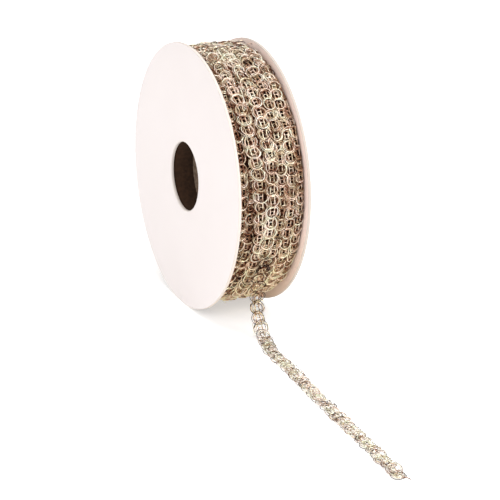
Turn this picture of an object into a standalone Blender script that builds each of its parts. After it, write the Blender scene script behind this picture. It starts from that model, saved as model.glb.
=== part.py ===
"""Small board spool wound with a metallic ring trim, its loose end lying out in front.

Metres, +Z up. The spool stands on its rims with its axis along X, its front board at -X.
The origin is on the surface it stands on, under the middle of the spool. The loose end
leaves the front of the winding, towards -Y, hangs to the surface and lies along it.
Angles around the winding count up from its level front, in degrees.
"""
import math

import bmesh
import bpy
from mathutils import Vector

# Boards, core and the gap between pieces
FRONT_RADIUS = 0.0450
BACK_RADIUS = 0.0444
BOARD_THICK = 0.001
BOARD_HOLE = 0.01165
BOARD_STEPS = 120
SPOOL_WIDTH = 0.02535
FLAT_DEPTH = 0.00015
CORE_INNER = 0.0120
CORE_WALL = 0.0015
CORE_STEPS = 64
GAP = 0.0003
MERGE = 0.00001
SHARP_ANGLE = 35.0

# Each board leans a little: degrees about Y and about Z
FRONT_LEAN = (2.07, -0.40)
BACK_LEAN = (1.52, 0.54)

# The ribbon: a row of round loops, seen here as a flat strip with scalloped edges
RING_PITCH = 0.00373
RIBBON_WIDTH = 0.0044
RIBBON_THICK = 0.0010

# The winding: turns side by side, each a low ridge over a base radius
BASE_RADIUS = 0.0420
SHOULDER_DROP = 0.0016
SHOULDER_WIDTH = 0.0016
WIND_STEPS = 90
WIND_ROWS = 34

# Place across from the front board at the level front, sway, its phase, crest over the base
TURNS = (
    {"place": 0.0014, "sway": 0.0003, "phase": 40.0, "crest": 0.0006},
    {"place": 0.0044, "sway": 0.0004, "phase": 200.0, "crest": 0.0004},
    {"place": 0.0072, "sway": 0.0012, "phase": 160.0, "crest": 0.0010},
    {"place": 0.0112, "sway": 0.0004, "phase": 10.0, "crest": 0.0013},
    {"place": 0.0150, "sway": 0.0003, "phase": 90.0, "crest": 0.0009},
    {"place": 0.0184, "sway": 0.0003, "phase": 30.0, "crest": 0.0010},
    {"place": 0.0217, "sway": 0.0003, "phase": 250.0, "crest": 0.0005},
)
LAST_TURN = 3

# The loose end leaves the last turn here, and that turn's ridge steps down under it
LEAVE_ANGLE = -27.0
STEP_ANGLE = -21.0
STEP_SPREAD = 3.0
NEXT_TURN_ANGLE = -70.0
RISE_SPREAD = 12.0
LAP_ANGLE = 4.0

# Route of the loose end's middle: hanging, then lying on the surface
HANG = (
    (-0.0015, -0.03570, 0.0180),
    (-0.0017, -0.03480, 0.0135),
    (-0.0019, -0.03510, 0.0092),
    (-0.0022, -0.03690, 0.0052),
    (-0.0027, -0.04050, 0.0022),
)
LYING = (
    (-0.0034, -0.0455),
    (-0.0049, -0.0520),
    (-0.0058, -0.0590),
    (-0.0062, -0.0680),
    (-0.0067, -0.0780),
    (-0.0075, -0.0900),
    (-0.0083, -0.1020),
    (-0.0088, -0.1140),
    (-0.0093, -0.1260),
    (-0.0099, -0.1380),
    (-0.0105, -0.1475),
    (-0.0109, -0.1552),
)
LIE_HEIGHT = 0.00055
SPAN_SAMPLES = 24
SECTIONS_PER_RING = 4

# Half length of a loop in pitches, and the strip's narrowest width between loops
LOOP_REACH = 0.56
WAIST = 0.55

# Outline of the strip: half widths across, thicknesses up
STRIP_OUTLINE = (
    (1.0, -0.3), (1.0, 0.3), (0.7, 0.5), (-0.7, 0.5),
    (-1.0, 0.3), (-1.0, -0.3), (-0.7, -0.5), (0.7, -0.5),
)

CREAM_BOARD = (0.96, 0.91, 0.89, 1.0)
BROWN_BOARD = (0.16, 0.10, 0.06, 1.0)
CHAMPAGNE_YARN = (0.66, 0.52, 0.38, 1.0)


def clear_scene():
    """Removes whatever the scene holds."""
    for obj in list(bpy.data.objects):
        bpy.data.objects.remove(obj, do_unlink=True)


def make_collection(name):
    """A new collection in the scene."""
    coll = bpy.data.collections.new(name)
    bpy.context.scene.collection.children.link(coll)
    return coll


def make_material(name, colour, roughness, metallic):
    """A Principled material of one colour."""
    mat = bpy.data.materials.new(name)
    mat.use_nodes = True
    shader = mat.node_tree.nodes["Principled BSDF"]
    shader.inputs["Base Color"].default_value = colour
    shader.inputs["Roughness"].default_value = roughness
    shader.inputs["Metallic"].default_value = metallic
    return mat


def add_object(name, mesh, coll, mat=None):
    """An object of the mesh, in the collection, with the material."""
    obj = bpy.data.objects.new(name, mesh)
    coll.objects.link(obj)
    if mat:
        mesh.materials.append(mat)
    return obj


def shade(mesh):
    """Smooth shading, with sharp edges past the sharp angle."""
    mesh.shade_smooth()
    mesh.set_sharp_from_angle(angle=math.radians(SHARP_ANGLE))


def mesh_from(bm, name):
    """A mesh of the bmesh, its faces turned outwards."""
    bmesh.ops.recalc_face_normals(bm, faces=bm.faces)
    mesh = bpy.data.meshes.new(name)
    bm.to_mesh(mesh)
    bm.free()
    return mesh


def lathe_about_x(name, coll, mat, inner, outer, length, steps):
    """A ring turned about X: a rectangle from inner to outer radius, with a Screw modifier."""
    bm = bmesh.new()
    half = length / 2
    corners = ((-half, inner), (half, inner), (half, outer), (-half, outer))
    verts = [bm.verts.new((x, 0.0, radius)) for x, radius in corners]
    for k in range(len(verts)):
        bm.edges.new((verts[k - 1], verts[k]))
    mesh = bpy.data.meshes.new(name)
    bm.to_mesh(mesh)
    bm.free()
    obj = add_object(name, mesh, coll, mat)
    screw = obj.modifiers.new("turn", "SCREW")
    screw.axis = "X"
    screw.steps = steps
    screw.render_steps = steps
    screw.use_merge_vertices = True
    screw.merge_threshold = MERGE
    screw.use_normal_calculate = True
    return obj


def board_slopes(side):
    """How fast a board's plane moves along X with Y and with Z, for side -1 (front) or 1 (back)."""
    lean, turn = FRONT_LEAN if side < 0 else BACK_LEAN
    return -math.tan(math.radians(turn)), math.tan(math.radians(lean)) / math.cos(math.radians(turn))


def board_radius(side):
    """Radius of a board: the back one is cut a little smaller."""
    return FRONT_RADIUS if side < 0 else BACK_RADIUS


def board_height(side):
    """Height of a board's centre: it is cut flat a little above its lowest point."""
    return board_radius(side) - FLAT_DEPTH


def board_middle_x(side):
    """X of a board's middle plane at its centre.

    The front board leans further out than the back one, so the spool sits half the
    difference towards +X, which keeps the origin under the middle of its outline.
    """
    overhangs = [board_radius(s) * math.hypot(*board_slopes(s)) for s in (-1, 1)]
    return (overhangs[0] - overhangs[1]) / 2 + side * (SPOOL_WIDTH - BOARD_THICK) / 2


def inner_face_x(side, y, z):
    """X of a board's inner face at a point y, z of its plane."""
    slope_y, slope_z = board_slopes(side)
    tilt = math.sqrt(1 + slope_z ** 2 + slope_y ** 2)
    at_centre = board_middle_x(side) - side * BOARD_THICK / 2 * tilt
    return at_centre + slope_y * y + slope_z * (z - board_height(side))


def axis_height():
    """Height of the tube's axis: the front board is glued on square to it."""
    return board_height(-1)


def add_board(name, side, coll, cutters, mat):
    """A leaning board disc with its hole, cut flat where it stands."""
    obj = lathe_about_x(name, coll, mat, BOARD_HOLE, board_radius(side), BOARD_THICK, BOARD_STEPS)
    lean, turn = FRONT_LEAN if side < 0 else BACK_LEAN
    obj.location = (board_middle_x(side), 0.0, board_height(side))
    obj.rotation_euler = (0.0, math.radians(lean), math.radians(turn))
    depth = FRONT_RADIUS
    bm = bmesh.new()
    bmesh.ops.create_cube(bm, size=1.0)
    bmesh.ops.scale(bm, vec=(depth, depth, depth), verts=bm.verts)
    bmesh.ops.translate(bm, vec=(board_middle_x(side), 0.0, -depth / 2), verts=bm.verts)
    cutter = add_object(name + "_floor_cut", mesh_from(bm, name + "_floor_cut"), cutters)
    cutter.hide_render = True
    cutter.display_type = "WIRE"
    cut = obj.modifiers.new("flat", "BOOLEAN")
    cut.operation = "DIFFERENCE"
    cut.object = cutter
    return obj


def fit_between(share, y, z):
    """X at a share of the way from the front board to the back one, clear of both."""
    low = inner_face_x(-1, y, z) + GAP
    high = inner_face_x(1, y, z) - GAP
    return low + share * (high - low)


def add_core(coll, mat):
    """The paper tube, its ends following the leaning boards."""
    outer = CORE_INNER + CORE_WALL
    bm = bmesh.new()
    rings = []
    for share, radius in ((0, CORE_INNER), (1, CORE_INNER), (1, outer), (0, outer)):
        ring = []
        for k in range(CORE_STEPS):
            angle = 2 * math.pi * k / CORE_STEPS
            y = -radius * math.cos(angle)
            z = axis_height() + radius * math.sin(angle)
            ring.append(bm.verts.new((fit_between(share, y, z), y, z)))
        rings.append(ring)
    close_rings(bm, rings, around=True)
    mesh = mesh_from(bm, "core_tube")
    obj = add_object("core_tube", mesh, coll, mat)
    shade(mesh)
    return obj


def close_rings(bm, rings, around):
    """Quads between each ring of points and the next, and from the last to the first if around."""
    count = len(rings[0])
    for n in range(len(rings) if around else len(rings) - 1):
        here = rings[n]
        after = rings[(n + 1) % len(rings)]
        for k in range(count):
            j = (k + 1) % count
            bm.faces.new((here[k], here[j], after[j], after[k]))


def winding_width():
    """Room for the winding on the axis, clear of both boards."""
    return SPOOL_WIDTH - 2 * BOARD_THICK - 2 * GAP


def turn_place(turn, angle):
    """How far a turn's middle lies from the front board at an angle."""
    return turn["place"] + turn["sway"] * math.sin(math.radians(angle + turn["phase"]))


def crest_share(index, angle):
    """1 along a turn; 0 under the loose end, where the last turn has left the winding."""
    if index != LAST_TURN:
        return 1.0
    past = (angle - STEP_ANGLE + 180) % 360 - 180
    back_on = (angle - NEXT_TURN_ANGLE + 180) % 360 - 180
    if past >= 0 or back_on <= 0:
        return 1.0
    fall = min(1.0, -past / STEP_SPREAD)
    rise = min(1.0, back_on / RISE_SPREAD)
    return 1.0 - min(fall, rise)


def wound_radius(across, width, angle):
    """Radius of the winding: the highest of the turns' domes there, lower at both shoulders.

    A turn's dome is a parabola across the ribbon's width, its crest over the base radius.
    """
    rise = 0.0
    for index, turn in enumerate(TURNS):
        off = (across - turn_place(turn, angle)) / (RIBBON_WIDTH / 2)
        dome = turn["crest"] * crest_share(index, angle) * (1 - off * off)
        rise = max(rise, dome)
    edge = min(across, width - across)
    fall = max(0.0, 1 - edge / SHOULDER_WIDTH)
    return BASE_RADIUS + rise - SHOULDER_DROP * fall * fall


def add_winding(coll, mat):
    """The whole winding as one solid: a grid of angle and place across, closed at the bore."""
    bore = CORE_INNER + CORE_WALL + GAP
    height = axis_height()
    width = winding_width()
    bm = bmesh.new()
    rows = [[] for _ in range(WIND_ROWS + 3)]
    for k in range(WIND_STEPS):
        angle = 360.0 * k / WIND_STEPS
        unit_y = -math.cos(math.radians(angle))
        unit_z = math.sin(math.radians(angle))
        profile = [(0.0, bore)]
        for n in range(WIND_ROWS + 1):
            share = n / WIND_ROWS
            profile.append((share, wound_radius(share * width, width, angle)))
        profile.append((1.0, bore))
        for row, (share, radius) in zip(rows, profile):
            y = radius * unit_y
            z = height + radius * unit_z
            row.append(bm.verts.new((fit_between(share, y, z), y, z)))
    close_rings(bm, rows, around=True)
    mesh = mesh_from(bm, "wound_ribbon")
    obj = add_object("wound_ribbon", mesh, coll, mat)
    shade(mesh)
    return obj


def catmull_rom(points, per_span):
    """A smooth curve through the points: a Catmull-Rom spline, per_span samples to a span."""
    pts = [points[0] * 2 - points[1]] + points + [points[-1] * 2 - points[-2]]
    curve = []
    for n in range(1, len(pts) - 2):
        a, b, c, d = pts[n - 1:n + 3]
        for k in range(per_span):
            t = k / per_span
            curve.append(0.5 * (2 * b + (c - a) * t + (2 * a - 5 * b + 4 * c - d) * t * t
                                + (3 * b - a - 3 * c + d) * t ** 3))
    curve.append(points[-1].copy())
    return curve


def even_steps(curve, step):
    """Points along the curve a step apart, with the distance along it."""
    picked = [(0.0, curve[0])]
    along = 0.0
    target = step
    for a, b in zip(curve, curve[1:]):
        span = (b - a).length
        while span > 0 and along + span >= target:
            picked.append((target, a.lerp(b, (target - along) / span)))
            target += step
        along += span
    return picked


def loose_end_route():
    """Middle of the loose end: off the last turn, down to the surface and along it."""
    turn = TURNS[LAST_TURN]
    radius = BASE_RADIUS + turn["crest"] + RIBBON_THICK / 2
    points = []
    for angle in (LEAVE_ANGLE + LAP_ANGLE, LEAVE_ANGLE):
        y = -radius * math.cos(math.radians(angle))
        z = axis_height() + radius * math.sin(math.radians(angle))
        x = fit_between(turn_place(turn, angle) / winding_width(), y, z)
        points.append(Vector((x, y, z)))
    points += [Vector(p) for p in HANG]
    points += [Vector((x, y, LIE_HEIGHT)) for x, y in LYING]
    return points


def half_width(along):
    """Scalloped edge: each ring's half ellipse, filled between rings by the middle chain."""
    from_ring = ((along / RING_PITCH) % 1.0) - 0.5
    ring = math.sqrt(max(0.0, 1 - (from_ring / LOOP_REACH) ** 2))
    return RIBBON_WIDTH / 2 * (WAIST + (1 - WAIST) * ring)


def add_loose_end(coll, mat):
    """The loose end as a flat strip with rounded, scalloped edges, square to its route."""
    route = catmull_rom(loose_end_route(), SPAN_SAMPLES)
    steps = even_steps(route, RING_PITCH / SECTIONS_PER_RING)
    bm = bmesh.new()
    sections = []
    for n, (along, centre) in enumerate(steps):
        before = steps[max(0, n - 1)][1]
        after = steps[min(len(steps) - 1, n + 1)][1]
        run = (after - before).normalized()
        side = (Vector((1, 0, 0)) - run * run.x).normalized()
        up = side.cross(run)
        across = side * half_width(along)
        through = up * RIBBON_THICK
        sections.append([bm.verts.new(centre + across * a + through * b) for a, b in STRIP_OUTLINE])
    close_rings(bm, sections, around=False)
    bm.faces.new(reversed(sections[0]))
    bm.faces.new(sections[-1])
    mesh = mesh_from(bm, "loose_end")
    obj = add_object("loose_end", mesh, coll, mat)
    shade(mesh)
    return obj


clear_scene()
parts = make_collection("ribbon on spool")
cutters = make_collection("cutters")
board = make_material("cream board", CREAM_BOARD, 0.55, 0.0)
paper_tube = make_material("brown board", BROWN_BOARD, 0.8, 0.0)
yarn = make_material("champagne metallic yarn", CHAMPAGNE_YARN, 0.4, 0.6)
add_board("flange_front", -1, parts, cutters, board)
add_board("flange_back", 1, parts, cutters, board)
add_core(parts, paper_tube)
add_winding(parts, yarn)
add_loose_end(parts, yarn)
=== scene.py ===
"""Looks of a small board spool wound with a metallic ring trim.

Metres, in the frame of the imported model: the spool stands on z = 0 with its axis along X, its
front board at -X, and the loose end of the trim lies towards -Y. Shapes are worked out as
whole numpy arrays, and each function says its formula in words.
"""
import math

import bpy
import numpy as np
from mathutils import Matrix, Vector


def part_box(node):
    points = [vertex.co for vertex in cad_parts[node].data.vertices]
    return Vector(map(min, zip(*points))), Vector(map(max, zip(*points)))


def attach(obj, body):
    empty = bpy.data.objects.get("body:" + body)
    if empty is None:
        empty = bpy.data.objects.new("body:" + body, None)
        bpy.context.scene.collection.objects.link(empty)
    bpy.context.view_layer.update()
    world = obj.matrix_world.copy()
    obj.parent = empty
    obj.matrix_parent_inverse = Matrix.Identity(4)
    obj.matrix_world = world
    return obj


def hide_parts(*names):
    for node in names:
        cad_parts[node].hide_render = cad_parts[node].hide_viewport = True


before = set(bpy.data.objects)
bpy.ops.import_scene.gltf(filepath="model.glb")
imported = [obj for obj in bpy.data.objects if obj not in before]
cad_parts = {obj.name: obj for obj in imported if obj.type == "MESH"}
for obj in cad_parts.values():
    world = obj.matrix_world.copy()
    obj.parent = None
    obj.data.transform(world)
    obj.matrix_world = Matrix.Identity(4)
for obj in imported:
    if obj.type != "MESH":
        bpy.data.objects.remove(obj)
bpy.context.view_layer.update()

# The paper tube: spiral-wound brown paper, 1.5 mm thick, cut to length and glued between
# the two boards. Inside its bore the top ply shows a seam, pale on one side and dark on
# the other.

MM = 0.001
front_low, front_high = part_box("flange_front")
back_low, back_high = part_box("flange_back")
tube_low, tube_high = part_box("core_tube")
FRONT_RADIUS = (front_high.y - front_low.y) / 2
BACK_RADIUS = (back_high.y - back_low.y) / 2
AXIS_HEIGHT = (tube_low.z + tube_high.z) / 2
BACK_HEIGHT = AXIS_HEIGHT - FRONT_RADIUS + BACK_RADIUS
BOARD_THICK = 1.0 * MM
# Left between the boards and what lies between them
GAP = 0.3 * MM
SPOOL_WIDTH = 25.35 * MM
# Both boards lean a little: the change of x along y, and along z
FRONT_SLOPES = (math.tan(math.radians(0.40)), math.tan(math.radians(2.07)))
BACK_SLOPES = (-math.tan(math.radians(0.54)), math.tan(math.radians(1.52)))
# The leaning rims reach equally far to both sides of x = 0
MIDDLE_X = (FRONT_RADIUS * math.hypot(*FRONT_SLOPES) - BACK_RADIUS * math.hypot(*BACK_SLOPES)) / 2


def board_x(side, y, z, out=0.0):
    """X of a board's inner face (side -1 front, 1 back) at y, z, moved outwards by out.

    The board is a plane that leans a little: x at its centre, plus one slope times y and
    another times the height over the centre.
    """
    slope_y, slope_z = FRONT_SLOPES if side < 0 else BACK_SLOPES
    at_centre = MIDDLE_X + side * (SPOOL_WIDTH / 2 - BOARD_THICK + out)
    return at_centre + slope_y * y + slope_z * (z - (AXIS_HEIGHT if side < 0 else BACK_HEIGHT))


def between_boards(share, y, z):
    """X at a share of the way from the front board to the back one, clear of both."""
    low = board_x(-1, y, z) + GAP
    high = board_x(1, y, z) - GAP
    return low + share * (high - low)


def grid_faces(rows, cols, wrap_rows, wrap_cols):
    """Quads of a grid of points numbered row by row; either way may close on itself."""
    row = np.arange(rows if wrap_rows else rows - 1)
    col = np.arange(cols if wrap_cols else cols - 1)
    r, c = np.meshgrid(row, col, indexing="ij")
    r2 = (r + 1) % rows
    c2 = (c + 1) % cols
    quads = np.stack([r * cols + c, r2 * cols + c, r2 * cols + c2, r * cols + c2], axis=-1)
    return quads.reshape(-1, 4)


def mesh_piece(name, points, quads, uv=None, tones=None):
    """An object from points (n, 3) and quads (m, 4), smooth, with a UV map and tones if given.

    uv holds one pair for each corner of each quad, and tones one number for each quad. The
    volume is a sixth of the sum of a . (b x c) over the triangles, and where it comes out
    below zero the faces point inwards and every quad is turned round.
    """
    a, b, c, d = (points[quads[:, k]] for k in range(4))
    volume = np.sum(a * np.cross(b, c)) + np.sum(a * np.cross(c, d))
    if volume < 0:
        quads = quads[:, ::-1]
        uv = None if uv is None else np.asarray(uv).reshape(-1, 4, 2)[:, ::-1]
    mesh = bpy.data.meshes.new(name)
    mesh.vertices.add(len(points))
    mesh.vertices.foreach_set("co", np.asarray(points, np.float32).ravel())
    mesh.loops.add(quads.size)
    mesh.loops.foreach_set("vertex_index", quads.ravel().astype(np.int32))
    mesh.polygons.add(len(quads))
    mesh.polygons.foreach_set("loop_start", np.arange(0, quads.size, 4, dtype=np.int32))
    mesh.polygons.foreach_set("use_smooth", np.ones(len(quads), bool))
    mesh.update(calc_edges=True)
    mesh.validate()
    if uv is not None:
        layer = mesh.uv_layers.new(name="UVMap")
        layer.data.foreach_set("uv", np.asarray(uv, np.float32).ravel())
    if tones is not None:
        tone = mesh.attributes.new("tone", "FLOAT", "FACE")
        tone.data.foreach_set("value", np.asarray(tones, np.float32))
    obj = bpy.data.objects.new(name, mesh)
    bpy.context.scene.collection.objects.link(obj)
    return obj


def turned_piece(name, profile, steps, place, height=AXIS_HEIGHT, tones=None):
    """A closed profile (distance across, radius) turned about the spool's axis.

    Each profile point goes round in a ring: y = -r cos a and z = height + r sin a, and
    place(across, y, z) gives its x. No point goes below the surface at z = 0. tones holds
    one number for each side of the profile.
    """
    profile = np.asarray(profile)
    angle = np.linspace(0, 2 * np.pi, steps, endpoint=False)
    y = -profile[:, 1, None] * np.cos(angle)
    z = np.maximum(height + profile[:, 1, None] * np.sin(angle), 0.0)
    x = place(np.broadcast_to(profile[:, 0, None], y.shape), y, z)
    points = np.stack([x, y, z], axis=-1).reshape(-1, 3)
    tones = None if tones is None else np.repeat(tones, steps)
    return mesh_piece(name, points, grid_faces(len(profile), steps, True, True), tones=tones)


def linear(code):
    """Linear colour of an sRGB hex code such as "a0b1c2", with alpha 1."""
    channels = np.array([int(code[k:k + 2], 16) for k in (0, 2, 4)]) / 255
    low = channels / 12.92
    high = ((channels + 0.055) / 1.055) ** 2.4
    return (*np.where(channels <= 0.04045, low, high).tolist(), 1.0)


def add_node(tree, kind, links=None, stops=(), **settings):
    """Adds a node; links name its inputs' sources, settings its properties and input values.

    stops are a colour ramp's positions and sRGB codes, from low to high.
    """
    node = tree.nodes.new(kind)
    for key, value in settings.items():
        if hasattr(node, key):
            setattr(node, key, value)
        else:
            node.inputs[key.replace("_", " ")].default_value = value
    for key, source in (links or {}).items():
        tree.links.new(source, node.inputs[key])
    if stops:
        elements = node.color_ramp.elements
        for element, (position, code) in zip(elements, (stops[0], stops[-1])):
            element.position = position
            element.color = linear(code)
        for position, code in stops[1:-1]:
            elements.new(position).color = linear(code)
    return node


def new_material(name, **shader_values):
    """A material of that name, its node tree and its Principled shader, with values set."""
    mat = bpy.data.materials.new(name)
    mat.use_nodes = True
    shader = mat.node_tree.nodes["Principled BSDF"]
    for key, value in shader_values.items():
        shader.inputs[key.replace("_", " ")].default_value = value
    return mat, mat.node_tree, shader


def finish_piece(obj, mat, slot, *nodes):
    """Gives a piece its material and its body, and hides the CAD nodes it stands for; slot is not used.
    """
    obj.data.materials.append(mat)
    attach(obj, "root")
    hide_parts(*nodes)
    return obj


TUBE_INNER = 12.0 * MM
TUBE_OUTER = 13.5 * MM
TUBE_STEPS = 96
PLY_SCALE = 13.0
PLY_PHASE = 4.82
PLY_TURN = math.radians(187)

# Spiral-wound kraft paper: matt and fibrous, each ply a shade paler up to its seam. A wave
# texture repeats every 0.314 m over its scale, so the plies are 24 mm wide. The fibres are
# drawn about 1 mm long, coarser than the real ones, so that they show.
brown_tube, tree, shader = new_material(
    "brown spiral wound paper", Roughness=0.85, Specular_IOR_Level=0.2,
)
place = add_node(tree, "ShaderNodeTexCoord")
fibres = add_node(
    tree, "ShaderNodeTexNoise", {"Vector": place.outputs["Object"]}, Scale=0.9 / MM, Detail=3.0,
)
tilted = add_node(
    tree, "ShaderNodeMapping", {"Vector": place.outputs["Object"]}, Rotation=(0.0, 0.0, PLY_TURN),
)
plies = add_node(
    tree, "ShaderNodeTexWave", {"Vector": tilted.outputs["Vector"]}, bands_direction="X",
    wave_profile="SAW", Scale=PLY_SCALE, Phase_Offset=PLY_PHASE,
)
total = add_node(
    tree, "ShaderNodeMath", {0: fibres.outputs["Fac"], 1: plies.outputs["Fac"]}, operation="ADD",
)
mean = add_node(tree, "ShaderNodeMath", {0: total.outputs["Value"]}, operation="MULTIPLY")
mean.inputs[1].default_value = 0.5
paper = add_node(
    tree, "ShaderNodeValToRGB", {"Fac": mean.outputs["Value"]},
    stops=((0.15, "22140a"), (0.50, "422b1b"), (0.85, "8a7766")),
)
bump = add_node(
    tree, "ShaderNodeBump", {"Height": fibres.outputs["Fac"]}, Strength=0.3, Distance=0.1 * MM,
)
tree.links.new(paper.outputs["Color"], shader.inputs["Base Color"])
tree.links.new(bump.outputs["Normal"], shader.inputs["Normal"])

tube = turned_piece(
    "paper_tube",
    [(0.0, TUBE_INNER), (0.5, TUBE_INNER), (1.0, TUBE_INNER), (1.0, TUBE_OUTER), (0.0, TUBE_OUTER)],
    TUBE_STEPS,
    between_boards,
)
finish_piece(tube, brown_tube, "brown_tube", "core_tube")

# The two boards: discs of 1 mm greyboard, lined on both faces with pale paper and die-cut.
# The punch rounds the edge of the hole, and the cut rim is greyer than the faces. Each is
# glued to an end of the tube, and neither stands quite square.

HOLE_RADIUS = 11.65 * MM
RIM_ROUND = 0.15 * MM
HOLE_ROUND = 0.45 * MM
ROUND_STEPS = 4
BOARD_STEPS = 288
FACE_RINGS = 6
PUNCHED_TONE = 0.25
FRONT_EDGE_TONE = 0.5
# The back board's rim takes a darker colour than the front's, as painted shade
BACK_EDGE_TONE = 0.75
# Below this height the boards take a painted shade and the yarn a painted warm reflection
LOW_DOWN = 40 * MM


def disc_profile(inner, outer, thick, edge_tone):
    """A rectangle from inner to outer radius with quarter arcs at its corners, and side tones.

    The outer face has tone 0, the rounded edge of its hole PUNCHED_TONE, the cut edges
    edge_tone and the inner face 1. Across counts from the inner face outwards.
    """
    turn = np.linspace(0, np.pi / 2, ROUND_STEPS)
    corners = (
        (thick - RIM_ROUND, outer - RIM_ROUND, 0.0, RIM_ROUND),
        (RIM_ROUND, outer - RIM_ROUND, 0.5 * np.pi, RIM_ROUND),
        (RIM_ROUND, inner + RIM_ROUND, np.pi, RIM_ROUND),
        (thick - HOLE_ROUND, inner + HOLE_ROUND, 1.5 * np.pi, HOLE_ROUND),
    )
    arcs = []
    for across, radius, start, size in corners:
        arc = [across + size * np.cos(start + turn), radius + size * np.sin(start + turn)]
        arcs.append(np.stack(arc, 1))
    # Extra rings on both faces keep the long flat quads short
    rings = np.linspace(outer - RIM_ROUND, inner + RIM_ROUND, FACE_RINGS + 2)[1:-1]
    inside = np.stack([np.zeros(FACE_RINGS), rings], 1)
    outside = np.stack([np.full(FACE_RINGS, thick), rings[::-1]], 1)
    profile = np.concatenate([arcs[0], arcs[1], inside, arcs[2], arcs[3], outside])
    tones = np.concatenate([
        np.full(2 * ROUND_STEPS - 1, edge_tone),
        np.ones(FACE_RINGS + 1),
        np.full(ROUND_STEPS, edge_tone),
        np.full(ROUND_STEPS - 1, PUNCHED_TONE),
        np.zeros(FACE_RINGS + 1),
    ])
    return profile, tones


# Greyboard lined with coated paper: near white with a pink cast, satin, and faintly clouded
# over 30 mm. The tone of a face picks its colour: the cut edges are greyer, the inner faces
# are painted paler and pinker as painted light, and the back board's rim is painted darker as
# shade. The grain is drawn about 0.4 mm across.
cream_board, tree, shader = new_material(
    "pale lined greyboard", Roughness=0.5, Specular_IOR_Level=0.3,
)
place = add_node(tree, "ShaderNodeTexCoord")
side_tone = add_node(tree, "ShaderNodeAttribute", attribute_name="tone")
papers_and_painted_light = add_node(
    tree, "ShaderNodeValToRGB", {"Fac": side_tone.outputs["Fac"]},
    stops=((0.0, "eae2e0"), (0.5, "e2d8d0"), (0.75, "ccc0b6"), (1.0, "ffe9df")),
)
clouds = add_node(
    tree, "ShaderNodeTexNoise", {"Vector": place.outputs["Object"]}, Scale=0.035 / MM, Detail=2.0,
)
worn = add_node(
    tree, "ShaderNodeValToRGB", {"Fac": clouds.outputs["Fac"]},
    stops=((0.0, "f8f7f6"), (1.0, "ffffff")),
)
paper = add_node(
    tree, "ShaderNodeMix", {"A": papers_and_painted_light.outputs["Color"], "B": worn.outputs["Color"]},
    data_type="RGBA", blend_type="MULTIPLY", Factor=1.0,
)
# Painted shade: low down the boards' edges and inner faces are darkened browner, as they see little of
# the studio
heights = add_node(tree, "ShaderNodeSeparateXYZ", {"Vector": place.outputs["Object"]})
level = add_node(tree, "ShaderNodeMapRange", {"Value": heights.outputs["Z"]}, From_Max=LOW_DOWN)
board_painted_shade = add_node(
    tree, "ShaderNodeValToRGB", {"Fac": level.outputs["Result"]},
    stops=((0.05, "bfb5a0"), (0.25, "ece5d8"), (0.50, "f9f5ed"), (1.0, "ffffff")),
)
shaded = add_node(
    tree, "ShaderNodeMix",
    {"Factor": side_tone.outputs["Fac"], "A": paper.outputs["Result"], "B": board_painted_shade.outputs["Color"]},
    data_type="RGBA", blend_type="MULTIPLY",
)
grain = add_node(
    tree, "ShaderNodeTexNoise", {"Vector": place.outputs["Object"]}, Scale=2.6 / MM, Detail=2.0,
)
bump = add_node(
    tree, "ShaderNodeBump", {"Height": grain.outputs["Fac"]}, Strength=0.12, Distance=0.04 * MM,
)
tree.links.new(shaded.outputs["Result"], shader.inputs["Base Color"])
tree.links.new(bump.outputs["Normal"], shader.inputs["Normal"])

for side, name, node, radius, height, edge_tone in (
    (-1, "front_board", "flange_front", FRONT_RADIUS, AXIS_HEIGHT, FRONT_EDGE_TONE),
    (1, "back_board", "flange_back", BACK_RADIUS, BACK_HEIGHT, BACK_EDGE_TONE),
):
    profile, tones = disc_profile(HOLE_RADIUS, radius, BOARD_THICK, edge_tone)
    disc = turned_piece(
        name, profile, BOARD_STEPS, lambda out, y, z, s=side: board_x(s, y, z) + s * out,
        height, tones,
    )
    finish_piece(disc, cream_board, "cream_board", node)

# The trim: a ribbon crocheted from metallic yarn about 0.3 mm thick. Each stitch throws a
# round loop about 4 mm wide, and two running threads with rungs between them hold the
# loops down the middle. Every thread here is a tube along its own curve.

LOOP_PITCH = 3.73 * MM
LOOP_WIDE = 1.93 * MM
LOOP_LONG = 2.02 * MM
LOOP_LIFT = 0.45 * MM
LOOP_BEND = 0.09 * MM
INNER_SHARE = 0.80
INNER_DROP = 0.10 * MM
OUTER_SHARE = 1.2
OUTER_DROP = 0.22 * MM
OUTER_BEND = 0.12 * MM
RAIL_SIDE = 0.70 * MM
RAIL_SWAY = 0.07 * MM
RAIL_LIFT = 0.22 * MM
RAIL_BEND = 0.10 * MM
RUNG_BOW = 0.28 * MM
FIBRE_BOUND = 2.5 * MM
YARN_RADIUS = 0.155 * MM
# The other threads' radius over the loops' radius
OUTER_YARN = 0.9
INNER_YARN = 0.75
RAIL_YARN = 1.35
RUNG_YARN = 0.9
LEG_YARN = 0.8
FIBRE_YARN = 0.75
# What chance changes: a loop's turn in radians, its size and place in mm, and its tilt
TURN_CHANCE = 0.13
SIZE_CHANCE = 0.09
SHIFT_CHANCE = 0.12
TILT_CHANCE = 0.08
# And the tones of loops and legs, of the other threads, and of fibres
LOOP_TONES = 0.12
THREAD_TONES = 0.15
FIBRE_TONES = 0.28
GLINT_RUN = 4
SEED = 7


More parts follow.
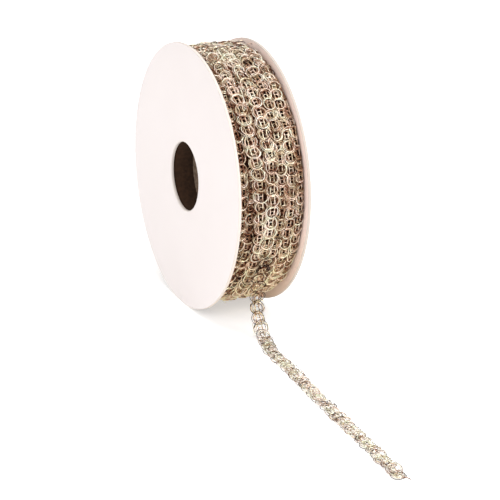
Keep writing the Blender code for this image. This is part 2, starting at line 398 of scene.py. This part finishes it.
def yarn_tubes(curve, radius, sides, closed):
    """Tubes round many curves at once: curve is (curves, steps, 3) in along, across, up.

    Each ring of the tube is a circle in the plane of two vectors: one is up with its share
    along the curve taken away, the other is square to both.
    """
    if closed:
        run = np.roll(curve, -1, axis=1) - np.roll(curve, 1, axis=1)
    else:
        run = np.gradient(curve, axis=1)
    run /= np.linalg.norm(run, axis=-1, keepdims=True)
    up = np.zeros_like(curve)
    up[..., 2] = 1.0
    first = up - run * run[..., 2:3]
    first /= np.linalg.norm(first, axis=-1, keepdims=True)
    second = np.cross(run, first)
    turn = np.linspace(0, 2 * np.pi, sides, endpoint=False)
    ring = np.cos(turn)[:, None] * first[:, :, None, :] + np.sin(turn)[:, None] * second[:, :, None, :]
    return curve[:, :, None, :] + radius * ring


def tube_set(curve, radius, sides, closed, tone):
    """Points, quads, UVs and tones of the tubes round many curves; UV u runs along in mm."""
    count, steps = curve.shape[:2]
    points = yarn_tubes(curve, radius, sides, closed).reshape(-1, 3)
    one = grid_faces(steps, sides, closed, True)
    if not closed:
        # Each end is closed by quads over its ring, one on four sides and two on six
        fans = np.array([[0, k + 1, k + 2, k + 3] for k in range(0, sides - 2, 2)])
        one = np.concatenate([one, fans, fans[:, ::-1] + (steps - 1) * sides])
    quads = (np.arange(count)[:, None, None] * steps * sides + one).reshape(-1, 4)
    length = np.linalg.norm(np.diff(curve, axis=1), axis=-1).sum(axis=1).mean() / MM
    row = one // sides
    col = one % sides
    u = row / steps * length
    v = col / sides
    # The last ring's quads join the first, so their far corners take the next value up
    u = np.where((row == 0) & (row.max(axis=1, keepdims=True) > 1), length, u)
    v = np.where((col == 0) & (col.max(axis=1, keepdims=True) > 1), 1.0, v)
    uv = np.broadcast_to(np.stack([u, v], -1), (count,) + u.shape + (2,)).reshape(-1, 2)
    tones = np.repeat(np.broadcast_to(tone, count), len(one))
    return points, quads, uv, tones


def join_sets(sets):
    """One set of points, quads, UVs and tones from several."""
    start = np.cumsum([0] + [len(s[0]) for s in sets[:-1]])
    points = np.concatenate([s[0] for s in sets])
    quads = np.concatenate([s[1] + n for s, n in zip(sets, start)])
    return points, quads, np.concatenate([s[2] for s in sets]), np.concatenate([s[3] for s in sets])


def trim_threads(
    count, rng, tone, fine=True, tilt=0.09, loose=1.0, mix=1.0, ring=0.32, edge=0.05, fibres=3,
    yarn=YARN_RADIUS, glint_spread=0.12,
):
    """The yarn of count stitches of trim, in along, across, up, starting at along = 0.

    A loop is an ellipse whose near end is lifted, with a smaller one inside it and a larger
    one under it. Two rails run along the middle in low waves, bowed rungs tie them three
    times in each loop, and on each side a leg curves from the rail out to the loop. Fibres
    are short arcs of random circles about the loop. tilt is the slope of the loops down
    along the trim, and loose says how much they wander: each is one number or a column of
    one for each stitch. The tones are painted light and shade. mix widens the spread of the
    threads' tones, ring is the painted highlight that the loops' tones have over the rest,
    and edge is the painted light or shade of the outer ellipses. The rails of the top turns
    are painted lighter and those of the older turns darker, as shade. yarn is the radius of
    the loops' yarn, and glint_spread is how much painted glints change the tone along a
    thread. The older turns need no more than the loops and the rails, so fine is False for them.
    """
    middle = (np.arange(count)[:, None] + 0.5) * LOOP_PITCH
    sides = 5 if fine else 4
    loose = np.broadcast_to(loose, (count, 1))
    tone = np.broadcast_to(tone, count)
    mix = np.broadcast_to(mix, count)
    yarn = np.broadcast_to(yarn, count).reshape(-1, 1, 1, 1)
    turn = np.linspace(0, 2 * np.pi, 18 if fine else 14, endpoint=False)

    # The round loops, each turned, stretched, shifted and tilted a little by chance
    yaw = rng.normal(0, TURN_CHANCE * loose, (count, 1))
    wide = LOOP_WIDE + rng.normal(0, SIZE_CHANCE, (count, 1)) * MM
    long = LOOP_LONG + rng.normal(0, SIZE_CHANCE, (count, 1)) * MM
    slide = rng.normal(0, SHIFT_CHANCE * loose, (2, count, 1)) * MM
    tilt = rng.normal(tilt, TILT_CHANCE * loose, (count, 1))
    rock = rng.normal(0, TILT_CHANCE * loose, (count, 1))
    bend = rng.uniform(0, 2 * np.pi, (3, count, 1))
    out = 1 + 0.035 * np.sin(2 * turn + bend[0]) + 0.03 * np.sin(3 * turn + bend[1])
    a = long * out * np.cos(turn)
    b = wide * out * np.sin(turn)
    along = a * np.cos(yaw) - b * np.sin(yaw)
    across = a * np.sin(yaw) + b * np.cos(yaw)
    up = LOOP_LIFT - tilt * along + rock * across + LOOP_BEND * np.sin(2 * turn + bend[2])
    loop = np.stack([middle + along + slide[0], across + slide[1], up], -1)
    # Painted highlight: the loops' tone is raised by ring over the rest
    loop_tone = tone + ring + mix * rng.normal(0, LOOP_TONES, count)
    sets = [tube_set(loop, yarn, sides, True, loop_tone)]

    # The two rails that run through all the stitches
    per = 6 if fine else 4
    steps = np.arange(count * per + 1)
    phase = 2 * np.pi * steps / per
    for lane in (-1, 1):
        side = lane * RAIL_SIDE + RAIL_SWAY * np.sin(phase + lane)
        up = RAIL_LIFT + RAIL_BEND * np.cos(phase + 2 * lane)
        rail = np.stack([steps / per * LOOP_PITCH, side, up], -1)[None]
        # The top turns' rails take a painted highlight, the older turns' rails a painted shade
        rail_tone = np.mean(tone) + (0.12 if fine else -0.10)
        sets.append(tube_set(rail, yarn.mean() * RAIL_YARN, 6 if fine else 4, False, rail_tone))
    if not fine:
        return join_sets(sets)

    # The larger ellipses under the loops
    a = OUTER_SHARE * a * (1 + rng.normal(0, 0.04, (count, 1)))
    b = OUTER_SHARE * b * (1 + rng.normal(0, 0.04, (count, 1)))
    along = a * np.cos(yaw) - b * np.sin(yaw)
    across = a * np.sin(yaw) + b * np.cos(yaw)
    up = LOOP_LIFT - OUTER_DROP - tilt * a + OUTER_BEND * np.sin(3 * turn + bend[1])
    outer = np.stack([middle + along + slide[1], across + slide[1], up], -1)
    # edge is the painted light or shade of the outer ellipses
    outer_tone = tone + edge + mix * rng.normal(0, THREAD_TONES, count)
    sets.append(tube_set(outer, yarn * OUTER_YARN, 4, True, outer_tone))

    # The smaller ellipses inside the loops
    a = INNER_SHARE * long * np.cos(turn[::2] + 0.3)
    b = INNER_SHARE * wide * np.sin(turn[::2] + 0.3)
    up = LOOP_LIFT - INNER_DROP - tilt * a + rock * b
    inner = np.stack([middle + a + slide[0], b + slide[1], up], -1)
    inner_tone = tone + mix * rng.normal(0, THREAD_TONES, count)
    sets.append(tube_set(inner, yarn * INNER_YARN, 4, True, inner_tone))

    # The rungs from rail to rail, and the legs from the rails to the loops
    reach = np.linspace(-1.0, 1.0, 5)
    for part in (-1 / 3, 0.0, 1 / 3):
        jolt = rng.normal(0, 0.07, (count, 1)) * MM
        along = middle + part * LOOP_PITCH + RUNG_BOW * (1 - reach ** 2) + jolt
        across = np.broadcast_to(reach * RAIL_SIDE, along.shape) + slide[1] * 0.5
        up = np.broadcast_to((0.20 + 0.16 * (1 - reach ** 2)) * MM, along.shape)
        rung = np.stack([along, across, up], -1)
        rung_tone = tone + 0.05 + mix * rng.normal(0, THREAD_TONES, count)
        sets.append(tube_set(rung, yarn * RUNG_YARN, 4, False, rung_tone))
    out = np.linspace(0.0, 1.0, 5)
    for lane in (-1, 1):
        along = middle - (0.6 + 0.9 * out ** 1.6) * MM + slide[0]
        across = lane * (RAIL_SIDE + (wide - RAIL_SIDE) * out * (1.3 - 0.5 * out)) + slide[1]
        up = np.broadcast_to((0.25 + 0.22 * out) * MM, along.shape)
        leg = np.stack([along, across, up], -1)
        leg_tone = tone - 0.1 + mix * rng.normal(0, LOOP_TONES, count)
        sets.append(tube_set(leg, yarn * LEG_YARN, 4, False, leg_tone))

    # The fibres of all the stitches, as one set of arcs
    every = np.repeat(np.arange(count), fibres)
    number = len(every)
    size = rng.uniform(1.2, 2.3, (number, 1)) * MM
    start = rng.uniform(0, 2 * np.pi, (number, 1))
    angle = start + rng.uniform(1.0, 3.0, (number, 1)) * np.linspace(0, 1, 7)
    centre = rng.normal(0, 0.5, (2, number, 1)) * MM * loose[every]
    along = middle[every] + centre[0] + size * np.cos(angle)
    across = np.clip(centre[1] + size * np.sin(angle), -FIBRE_BOUND, FIBRE_BOUND)
    lift = rng.uniform(0.15, 0.75, (number, 1)) * MM
    lean = rng.normal(0, 0.1, (number, 1))
    up = lift - tilt[every] * (along - middle[every]) + lean * size * np.cos(angle)
    fibre = np.stack([along, across, up], -1)
    fibre_tone = tone[every] + mix[every] * rng.normal(0, FIBRE_TONES, number)
    sets.append(tube_set(fibre, yarn[every] * FIBRE_YARN, 4, False, fibre_tone))
    points, quads, uv, tones = join_sets(sets)

    # Painted glints: short lengths of the foil are painted lighter or darker, a few faces in a row
    # sharing one shift
    painted_glints = rng.normal(0, glint_spread, len(tones) // GLINT_RUN + 1)
    return points, quads, uv, tones + np.repeat(painted_glints, GLINT_RUN)[:len(tones)]


# Yarn wrapped in metallised film, champagne gold. Its tone is painted light and shade: low
# tones are painted copper-brown shade and high ones a near-white painted highlight. Patches
# of tone are about 4.5 mm across, painted glints 0.7 mm, and the hue drifts from pinkish to
# greenish over 2.4 mm.
metal_yarn, tree, shader = new_material("champagne metallic yarn", Metallic=0.9, Roughness=0.28)
tone = add_node(tree, "ShaderNodeAttribute", attribute_name="tone")
place = add_node(tree, "ShaderNodeTexCoord")
patches = add_node(
    tree, "ShaderNodeTexNoise", {"Vector": place.outputs["Object"]}, Scale=0.22 / MM, Detail=2.0,
)
# Painted glints: fine noise lifts or drops the tone in spots about 0.7 mm across
glints = add_node(
    tree, "ShaderNodeTexNoise", {"Vector": place.outputs["Object"]}, Scale=1.5 / MM, Detail=1.0,
)
glint_step = add_node(
    tree, "ShaderNodeMath", {0: glints.outputs["Fac"]}, operation="MULTIPLY_ADD",
)
glint_step.inputs[1].default_value = 0.6
glint_step.inputs[2].default_value = -0.8
both = add_node(
    tree, "ShaderNodeMath", {0: glint_step.outputs["Value"], 1: patches.outputs["Fac"]},
    operation="ADD",
)
shifted = add_node(
    tree, "ShaderNodeMath", {0: tone.outputs["Fac"], 1: both.outputs["Value"]}, operation="ADD",
)
hue = add_node(
    tree, "ShaderNodeValToRGB", {"Fac": shifted.outputs["Value"]},
    stops=(
        (0.0, "2c170c"), (0.15, "5a3018"), (0.30, "8e6049"), (0.42, "bb967e"), (0.50, "b39d80"),
        (0.60, "dec7b2"), (0.70, "e4d5c0"), (0.80, "f9e9dc"), (0.90, "fbf4e8"), (1.0, "fafcf2"),
    ),
)
drift = add_node(
    tree, "ShaderNodeTexNoise", {"Vector": place.outputs["Object"]}, Scale=0.42 / MM, Detail=0.0,
)
tints = add_node(
    tree, "ShaderNodeValToRGB", {"Fac": drift.outputs["Fac"]},
    stops=((0.38, "fff3ef"), (0.62, "fbfaec")),
)
foil = add_node(
    tree, "ShaderNodeMix", {"A": hue.outputs["Color"], "B": tints.outputs["Color"]},
    data_type="RGBA", blend_type="MULTIPLY", Factor=1.0,
)
# Painted reflection: low on the spool the yarn is tinted yellower, standing for its warm neighbours and
# the boards mirrored in it
heights = add_node(tree, "ShaderNodeSeparateXYZ", {"Vector": place.outputs["Object"]})
level = add_node(tree, "ShaderNodeMapRange", {"Value": heights.outputs["Z"]}, From_Max=LOW_DOWN)
painted_low_reflection = add_node(
    tree, "ShaderNodeValToRGB", {"Fac": level.outputs["Result"]},
    stops=((0.06, "ffffff"), (0.16, "fff4de"), (0.55, "fff6e4"), (1.0, "ffffff")),
)
foil_with_painted_reflection = add_node(
    tree, "ShaderNodeMix", {"A": foil.outputs["Result"], "B": painted_low_reflection.outputs["Color"]},
    data_type="RGBA", blend_type="MULTIPLY", Factor=1.0,
)
# The film is wrapped round the yarn: a slanting wave, drawn 1 mm from turn to turn to show
wrap = add_node(
    tree, "ShaderNodeMapping", {"Vector": place.outputs["UV"]}, Scale=(2.0, 1.0, 1.0),
)
twist = add_node(
    tree, "ShaderNodeTexWave", {"Vector": wrap.outputs["Vector"]}, bands_direction="DIAGONAL",
    Scale=0.32,
)
bump = add_node(
    tree, "ShaderNodeBump", {"Height": twist.outputs["Fac"]}, Strength=0.5, Distance=0.08 * MM,
)
tree.links.new(foil_with_painted_reflection.outputs["Result"], shader.inputs["Base Color"])
tree.links.new(bump.outputs["Normal"], shader.inputs["Normal"])

# The winding: turn after turn of the trim laid side by side between the boards. The top
# turns stand proud and lap their neighbours, older turns show dark between them, and the
# last turn ends where the loose end leaves it.

BASE_RADIUS = 42.0 * MM
BETWEEN_BOARDS = SPOOL_WIDTH - 2 * BOARD_THICK - 2 * GAP
TURN_LOOPS = 73
LOOP_ANGLE = 360 / TURN_LOOPS
# How many loops of a turn lie below its loop_at
LOOPS_BELOW = 40
# The turn that the loose end leaves, its loops, and how many lie below its loop_at
LAST_TURN = 3
LAST_TURN_LOOPS = 64
LAST_TURN_LOOPS_BELOW = 4
WAVER = 0.09
# Each table gives a value at some angles in degrees, counted up from the level front.
# How much the stitches wander: most high up, where the turns cross
WANDER = ((-180, 1.0), (-60, 0.9), (-30, 0.9), (50, 1.0), (66, 1.8), (85, 1.8), (120, 1.0))
# How much the yarn's tone is raised at each angle, as painted light and shade, and how much more its
# round loops are raised, as painted highlight
PAINTED_LIGHT_BY_ANGLE = (
    (-180, 0.0), (-55, 0.22), (-25, 0.05), (5, -0.06), (40, 0.01), (65, 0.09), (90, 0.16), (120, 0.0),
)
LOOP_HIGHLIGHTS = ((-180, 0.32), (-55, 0.85), (-25, 0.70), (-5, 0.40), (5, 0.34), (120, 0.34))
# How widely the tones of the threads differ
CONTRAST = ((-180, 1.0), (-60, 1.5), (-25, 1.3), (0, 1.2), (60, 1.5), (90, 1.6), (120, 1.0))
# The slope of the loops: like scales, they stand up high and low on the spool
STAND = (
    (-180, 0.09), (-90, 0.05), (-70, 0.12), (-52, 0.38), (-35, 0.32), (-15, 0.12), (38, 0.09),
    (70, -0.30), (95, -0.25), (140, 0.09),
)
# How much of a turn's painted shade low down counts, at each angle
LOW_SHADE_SHARE = ((-60, 1.0), (-15, 0.0))
# For each turn, from the front board to the back one: the angle of one loop's middle, the
# height over the base in mm, the slope across, the size, the tone and the painted shade that
# darkens it low down by the front board, tables of its place in mm from the front board, and
# how deep it sinks in mm
TOP_TURNS = (
    {
        "loop_at": 4.7, "height": 0.05, "slope": -0.30, "size": 0.92, "tone": 0.40, "painted_low_shade": -0.50,
        "places": ((-150, 1.7), (-40, 1.5), (0, 1.5), (40, 1.6), (90, 1.8)),
    },
    {
        "loop_at": 2.2, "height": -0.40, "slope": 0.0, "size": 0.95, "tone": 0.32, "painted_low_shade": -0.30,
        "places": (
            (-150, 4.6), (-60, 3.7), (-12, 3.8), (2, 4.3), (14, 4.3), (30, 7.9), (60, 8.0), (95, 6.8),
        ),
    },
    {
        "loop_at": 1.7, "height": 0.35, "slope": 0.05, "size": 1.06, "tone": 0.48,
        "places": (
            (-150, 6.6), (-60, 8.1), (-14, 7.7), (-4, 7.45), (7, 7.4), (12, 7.05), (17, 6.8),
            (22, 6.3), (31, 5.5), (51, 5.2), (61, 4.6), (80, 4.7), (140, 6.3),
        ),
    },
    {
        "loop_at": -0.8, "height": 0.65, "slope": 0.0, "size": 1.04, "tone": 0.55,
        "places": (
            (-25, 10.2), (-15, 10.5), (-10, 10.9), (4, 11.1), (19, 11.4), (24, 11.5), (34, 11.1),
            (54, 10.7), (65, 10.1), (85, 9.8), (160, 10.9),
        ),
    },
    {
        "loop_at": 2.5, "height": 0.25, "slope": 0.10, "size": 1.0, "tone": 0.40,
        "places": (
            (-150, 14.2), (-60, 12.9), (-15, 13.6), (-7, 14.3), (-2, 14.8), (30, 14.9), (55, 15.4),
            (70, 14.6), (90, 14.4),
        ),
    },
    {
        "loop_at": 1.9, "height": 0.30, "slope": -0.05, "size": 1.0, "tone": 0.44,
        "places": (
            (-150, 18.0), (-60, 16.9), (-13, 17.3), (-3, 17.9), (12, 18.3), (26, 18.2), (40, 18.7),
            (56, 19.4), (70, 18.8), (90, 18.6),
        ),
    },
    {
        "loop_at": 3.4, "height": -0.25, "slope": -0.35, "size": 0.98, "tone": 0.42,
        "places": ((-150, 21.4), (-60, 20.5), (-13, 20.9), (0, 21.3), (30, 21.5), (60, 22.0), (90, 21.8)),
        "sinks": ((-150, 0.0), (35, 0.0), (60, 1.1), (95, 1.4), (150, 0.0)),
    },
)


def at_angles(degrees, table):
    """The table's value at each angle, read round the circle."""
    angles, values = np.array(table).T
    return np.interp(degrees, angles, values, period=360)


def wrap_turn(points, turn, start_angle, waver):
    """Lays a straight trim (along, across, up) round the spool as one turn.

    Angle is along over radius. The place across is read from the turn's table at that
    angle and wavers by three sines of random phase. Radius is the base plus the turn's
    height, up and its slope times across, less what the turn sinks there.
    """
    degrees = start_angle + points[:, 0] / LOOP_PITCH * LOOP_ANGLE
    angle = np.radians(degrees)
    middle = at_angles(degrees, turn["places"])
    sink = at_angles(degrees, turn.get("sinks", ((0, 0.0),))) * MM
    for waves, phase in zip((7, 19, 31), waver):
        middle = middle + WAVER * np.sin(waves * angle + phase)
    across = middle * MM + points[:, 1] * turn["size"]
    out = BASE_RADIUS + turn["height"] * MM + points[:, 2] + turn["slope"] * points[:, 1] - sink
    y = -out * np.cos(angle)
    z = AXIS_HEIGHT + out * np.sin(angle)
    share = np.clip(across / BETWEEN_BOARDS, 0.004, 0.996)
    return np.stack([between_boards(share, y, z), y, z], -1)


rng = np.random.default_rng(SEED)
for number, turn in enumerate(TOP_TURNS):
    last = number == LAST_TURN
    count = LAST_TURN_LOOPS if last else TURN_LOOPS
    loops_below = LAST_TURN_LOOPS_BELOW if last else LOOPS_BELOW
    start = turn["loop_at"] - (loops_below + 0.5) * LOOP_ANGLE
    degrees = start + (np.arange(count) + 0.5) * LOOP_ANGLE
    low_shade_share = np.interp(degrees, *np.array(LOW_SHADE_SHARE).T)
    shade = turn["tone"] + at_angles(degrees, PAINTED_LIGHT_BY_ANGLE) + turn.get("painted_low_shade", 0.0) * low_shade_share
    points, quads, uv, tones = trim_threads(
        count, rng, shade,
        tilt=at_angles(degrees, STAND)[:, None],
        loose=at_angles(degrees, WANDER)[:, None],
        mix=at_angles(degrees, CONTRAST),
        ring=at_angles(degrees, LOOP_HIGHLIGHTS),
    )
    points = wrap_turn(points, turn, start, rng.uniform(0, 2 * np.pi, 3))
    obj = mesh_piece(f"top_turn_{number + 1}", points, quads, uv, tones)
    finish_piece(obj, metal_yarn, "ring_trim", "wound_ribbon")

# Older turns, seen only through the gaps of the top ones: evenly spaced, a little lower, and given the
# lowest tone as painted shade
UNDER_TURNS = 6
UNDER_FIRST = 2.8
UNDER_STEP = 3.55
UNDER_DRIFT = 0.4
UNDER_HEIGHT = -1.1

for number in range(UNDER_TURNS):
    middle = UNDER_FIRST + number * UNDER_STEP
    turn = {
        "places": ((0, middle), (120, middle + UNDER_DRIFT), (240, middle - UNDER_DRIFT)),
        "height": UNDER_HEIGHT, "slope": 0.0, "size": 1.0,
    }
    points, quads, uv, tones = trim_threads(TURN_LOOPS - 1, rng, 0.0, fine=False)
    start = 360 / UNDER_TURNS * number
    points = wrap_turn(points, turn, start, rng.uniform(0, 2 * np.pi, 3))
    obj = mesh_piece(f"under_turn_{number + 1}", points, quads, uv, tones)
    finish_piece(obj, metal_yarn, "ring_trim", "wound_ribbon")

# The same yarn layer under layer, where little light comes: painted dull and dark brown as
# shade, with pits about 1.4 mm apart where its threads cross
yarn_in_painted_shade, tree, shader = new_material("shaded inner layers of yarn", Metallic=0.3, Roughness=0.6)
place = add_node(tree, "ShaderNodeTexCoord")
cells = add_node(
    tree, "ShaderNodeTexVoronoi", {"Vector": place.outputs["Object"]}, Scale=0.7 / MM,
)
layers = add_node(
    tree, "ShaderNodeValToRGB", {"Fac": cells.outputs["Distance"]},
    stops=((0.0, "4a2812"), (1.0, "1c0d05")),
)
bump = add_node(
    tree, "ShaderNodeBump", {"Height": cells.outputs["Distance"]}, invert=True, Strength=1.0,
    Distance=0.4 * MM,
)
tree.links.new(layers.outputs["Color"], shader.inputs["Base Color"])
tree.links.new(bump.outputs["Normal"], shader.inputs["Normal"])

INNER_RADIUS = BASE_RADIUS - 1.5 * MM
INNER_STEPS = 180
side_rings = np.linspace(TUBE_OUTER + 4 * MM, INNER_RADIUS, 8)
outer_rings = np.linspace(1.0, 0.0, 25)[1:-1]
inner = turned_piece(
    "inner_layers",
    [(0.0, TUBE_OUTER + GAP), (1.0, TUBE_OUTER + GAP)]
    + [(1.0, radius) for radius in side_rings]
    + [(across, INNER_RADIUS) for across in outer_rings]
    + [(0.0, radius) for radius in side_rings[::-1]],
    INNER_STEPS,
    between_boards,
)
finish_piece(inner, yarn_in_painted_shade, "ring_trim", "wound_ribbon")

# The loose end: the last stitches of the same trim, cut and left hanging. It leaves the
# last turn low at the front, falls to the surface and lies along it to its cut end, where
# one thread stands out.

# Where it leaves the winding: angles in degrees, radius, and place from the front board
LEAVING_ANGLES = (-23.0, -27.0)
LEAVING_RADIUS = BASE_RADIUS + 1.8 * MM
LEAVING_PLACE = 11.1 * MM
# The route: the hanging stretch, the lying stretch and the thread that
# stands out at the cut
HANG = (
    (-0.0015, -0.03570, 0.0180),
    (-0.0017, -0.03480, 0.0135),
    (-0.0019, -0.03510, 0.0092),
    (-0.0022, -0.03690, 0.0052),
    (-0.0027, -0.04050, 0.0022),
)
LYING = (
    (-0.0034, -0.0455),
    (-0.0049, -0.0520),
    (-0.0058, -0.0590),
    (-0.0062, -0.0680),
    (-0.0067, -0.0780),
    (-0.0075, -0.0900),
    (-0.0083, -0.1020),
    (-0.0088, -0.1140),
    (-0.0093, -0.1260),
    (-0.0099, -0.1380),
    (-0.0105, -0.1475),
    (-0.0109, -0.1552),
)
STRAY = (
    (-0.0102, -0.1545, 0.0006),
    (-0.0098, -0.1557, 0.0009),
    (-0.0093, -0.1564, 0.0008),
    (-0.0087, -0.1569, 0.0005),
)
LIE_HEIGHT = 0.55 * MM
# The bright surface shows through the loose end and makes its yarn look finer than it is
THIN_YARN = 0.12 * MM
# It thickens to its full radius between these shares of the way from the cut end
THICKENS = (0.86, 0.94)
SPREAD = 1.04
OVERHANG = 0.3 * MM
CLEAR_OF_FLOOR = 0.02 * MM
# Painted light and shade along the loose end: what the tones shift by at each share of the way from the
# cut end, paler where it lies out in the light and darker where it hangs in the spool's shade
LOOSE_END_PAINTED_LIGHT = ((0.0, 0.40), (0.5, 0.38), (0.72, 0.36), (0.85, 0.06), (1.0, -0.16))
STRAY_TONE = 0.2


def smooth_route(knots, samples):
    """Points evenly along the Catmull-Rom curve through the knots, and the curve's length.

    Between knots b and c the curve is half of 2b + (c - a) t + (2a - 5b + 4c - d) t^2
    + (3b - a - 3c + d) t^3, with a before them, d after them and t from 0 to 1.
    """
    pts = np.vstack([2 * knots[0] - knots[1], knots, 2 * knots[-1] - knots[-2]])
    a, b, c, d = (pts[k:len(pts) - 3 + k, None] for k in range(4))
    t = np.linspace(0, 1, 24, endpoint=False)[:, None]
    square = (2 * a - 5 * b + 4 * c - d) * t ** 2
    cube = (3 * b - a - 3 * c + d) * t ** 3
    curve = 0.5 * (2 * b + (c - a) * t + square + cube)
    curve = np.vstack([curve.reshape(-1, 3), knots[-1]])
    along = np.concatenate([[0], np.cumsum(np.linalg.norm(np.diff(curve, axis=0), axis=1))])
    even = np.linspace(0, along[-1], samples)
    return np.stack([np.interp(even, along, curve[:, k]) for k in range(3)], 1), along[-1]


def lay_on_route(points, route, length):
    """Bends a straight trim (along, across, up) onto a route.

    Across is the X axis with its share along the route taken away, and up is square to both.
    """
    run = np.gradient(route, axis=0)
    run /= np.linalg.norm(run, axis=1, keepdims=True)
    side = np.array([1.0, 0, 0]) - run * run[:, :1]
    side /= np.linalg.norm(side, axis=1, keepdims=True)
    up = np.cross(side, run)
    at = points[:, 0] / length * (len(route) - 1)
    step = np.arange(len(route))
    place = np.stack([np.interp(at, step, route[:, k]) for k in range(3)], 1)
    side = np.stack([np.interp(at, step, side[:, k]) for k in range(3)], 1)
    up = np.stack([np.interp(at, step, up[:, k]) for k in range(3)], 1)
    return place + side * points[:, 1:2] + up * points[:, 2:3]


knots = []
for angle in np.radians(LEAVING_ANGLES):
    y = -LEAVING_RADIUS * math.cos(angle)
    z = AXIS_HEIGHT + LEAVING_RADIUS * math.sin(angle)
    knots.append((between_boards(LEAVING_PLACE / BETWEEN_BOARDS, y, z), y, z))
knots += list(HANG) + [(x, y, LIE_HEIGHT) for x, y in LYING]
route, length = smooth_route(np.array(knots), 400)
loose_loops = round(length / LOOP_PITCH)
from_cut = np.arange(loose_loops) / loose_loops
# Its outer ellipses take a painted shade that outlines its edge, and its painted glints spread wider
points, quads, uv, tones = trim_threads(
    loose_loops, rng, 0.45, tilt=-0.14, loose=1.2, mix=2.0, edge=-0.70, fibres=9,
    yarn=np.interp(from_cut, THICKENS, (THIN_YARN, YARN_RADIUS)), glint_spread=0.38,
)
points[:, 0] = np.maximum(points[:, 0], -OVERHANG)
points[:, 0] *= length / (loose_loops * LOOP_PITCH)
points[:, 1] *= SPREAD
tones = tones + np.interp(points[quads[:, 0], 0] / length, *np.array(LOOSE_END_PAINTED_LIGHT).T)
laid = lay_on_route(points, route[::-1], length)
laid[:, 2] = np.maximum(laid[:, 2], CLEAR_OF_FLOOR)
stray, _ = smooth_route(np.array(STRAY), 12)
points, quads, uv, tones = join_sets([
    (laid, quads, uv, tones),
    tube_set(stray[None], YARN_RADIUS, 4, False, STRAY_TONE),
])
loose = mesh_piece("loose_end_trim", points, quads, uv, tones)
finish_piece(loose, metal_yarn, "ring_trim", "loose_end")

# The studio: a plain white surface, a broad soft light overhead, a smaller one on the right
# and a weaker one on the left, a pale tent all round, and the camera where the photograph
# was taken from.

FLOOR_HALF = 3.0
FLOOR_GLOW = 0.45
floor_corners = [(-1, -1, 0), (1, -1, 0), (1, 1, 0), (-1, 1, 0)]
floor = mesh_piece("studio_floor", FLOOR_HALF * np.array(floor_corners), np.array([[0, 1, 2, 3]]))

# Matt white paper, lit from above and below so that it comes out white but for the shadow
white_paper, tree, shader = new_material(
    "white studio paper", Roughness=0.9, Specular_IOR_Level=0.1, Base_Color=linear("e8e8e8"),
    Emission_Color=linear("ffffff"), Emission_Strength=FLOOR_GLOW,
)
floor.data.materials.append(white_paper)

SPOOL_MIDDLE = (0.0, 0.0, 0.04)


def add_softbox(name, place, size, watts):
    """A square area light at a place, turned to face the middle of the spool.

    It looks straight down when unturned, so it is tipped up by the angle between straight
    down and its line of sight, and then swung round to the side it looks to.
    """
    light = bpy.data.lights.new(name, "AREA")
    light.size = size
    light.energy = watts
    obj = bpy.data.objects.new(name, light)
    bpy.context.scene.collection.objects.link(obj)
    obj.location = place
    x, y, z = np.array(SPOOL_MIDDLE) - np.array(place)
    obj.rotation_euler = (math.atan2(math.hypot(x, y), -z), 0.0, math.atan2(-x, y))
    return obj


add_softbox("key_softbox", (0.1, 0.0, 1.3), size=1.6, watts=8.0)
add_softbox("side_softbox", (0.8, -0.9, 0.7), size=0.5, watts=9.0)
add_softbox("fill_softbox", (-1.3, -0.6, 0.7), size=1.2, watts=7.0)

# The tent is white high up and grey towards the level
world = bpy.data.worlds.new("studio")
bpy.context.scene.world = world
world.use_nodes = True
sky = world.node_tree.nodes["Background"]
sky.inputs["Strength"].default_value = 0.9
direction = add_node(world.node_tree, "ShaderNodeTexCoord")
height = add_node(
    world.node_tree, "ShaderNodeSeparateXYZ", {"Vector": direction.outputs["Generated"]},
)
tent = add_node(
    world.node_tree, "ShaderNodeValToRGB", {"Fac": height.outputs["Z"]},
    stops=((0.0, "5a5a5c"), (0.8, "ffffff")),
)
world.node_tree.links.new(tent.outputs["Color"], sky.inputs["Color"])
bpy.context.scene.view_settings.view_transform = "Standard"

# Worked out from the outlines of the two discs and the hole in the photograph
PHOTO_AZIMUTH = math.radians(24.52)
PHOTO_ELEVATION = math.radians(20.5)
CAMERA_PLACE = (-0.32213, -0.73187, 0.31547)
camera_data = bpy.data.cameras.new("photo_camera")
camera_data.lens = 180.0
camera_data.sensor_width = 36.0
camera = bpy.data.objects.new("photo_camera", camera_data)
bpy.context.scene.collection.objects.link(camera)
camera.location = CAMERA_PLACE
camera.rotation_euler = (math.pi / 2 - PHOTO_ELEVATION, 0.0, -PHOTO_AZIMUTH)
bpy.context.scene.camera = camera
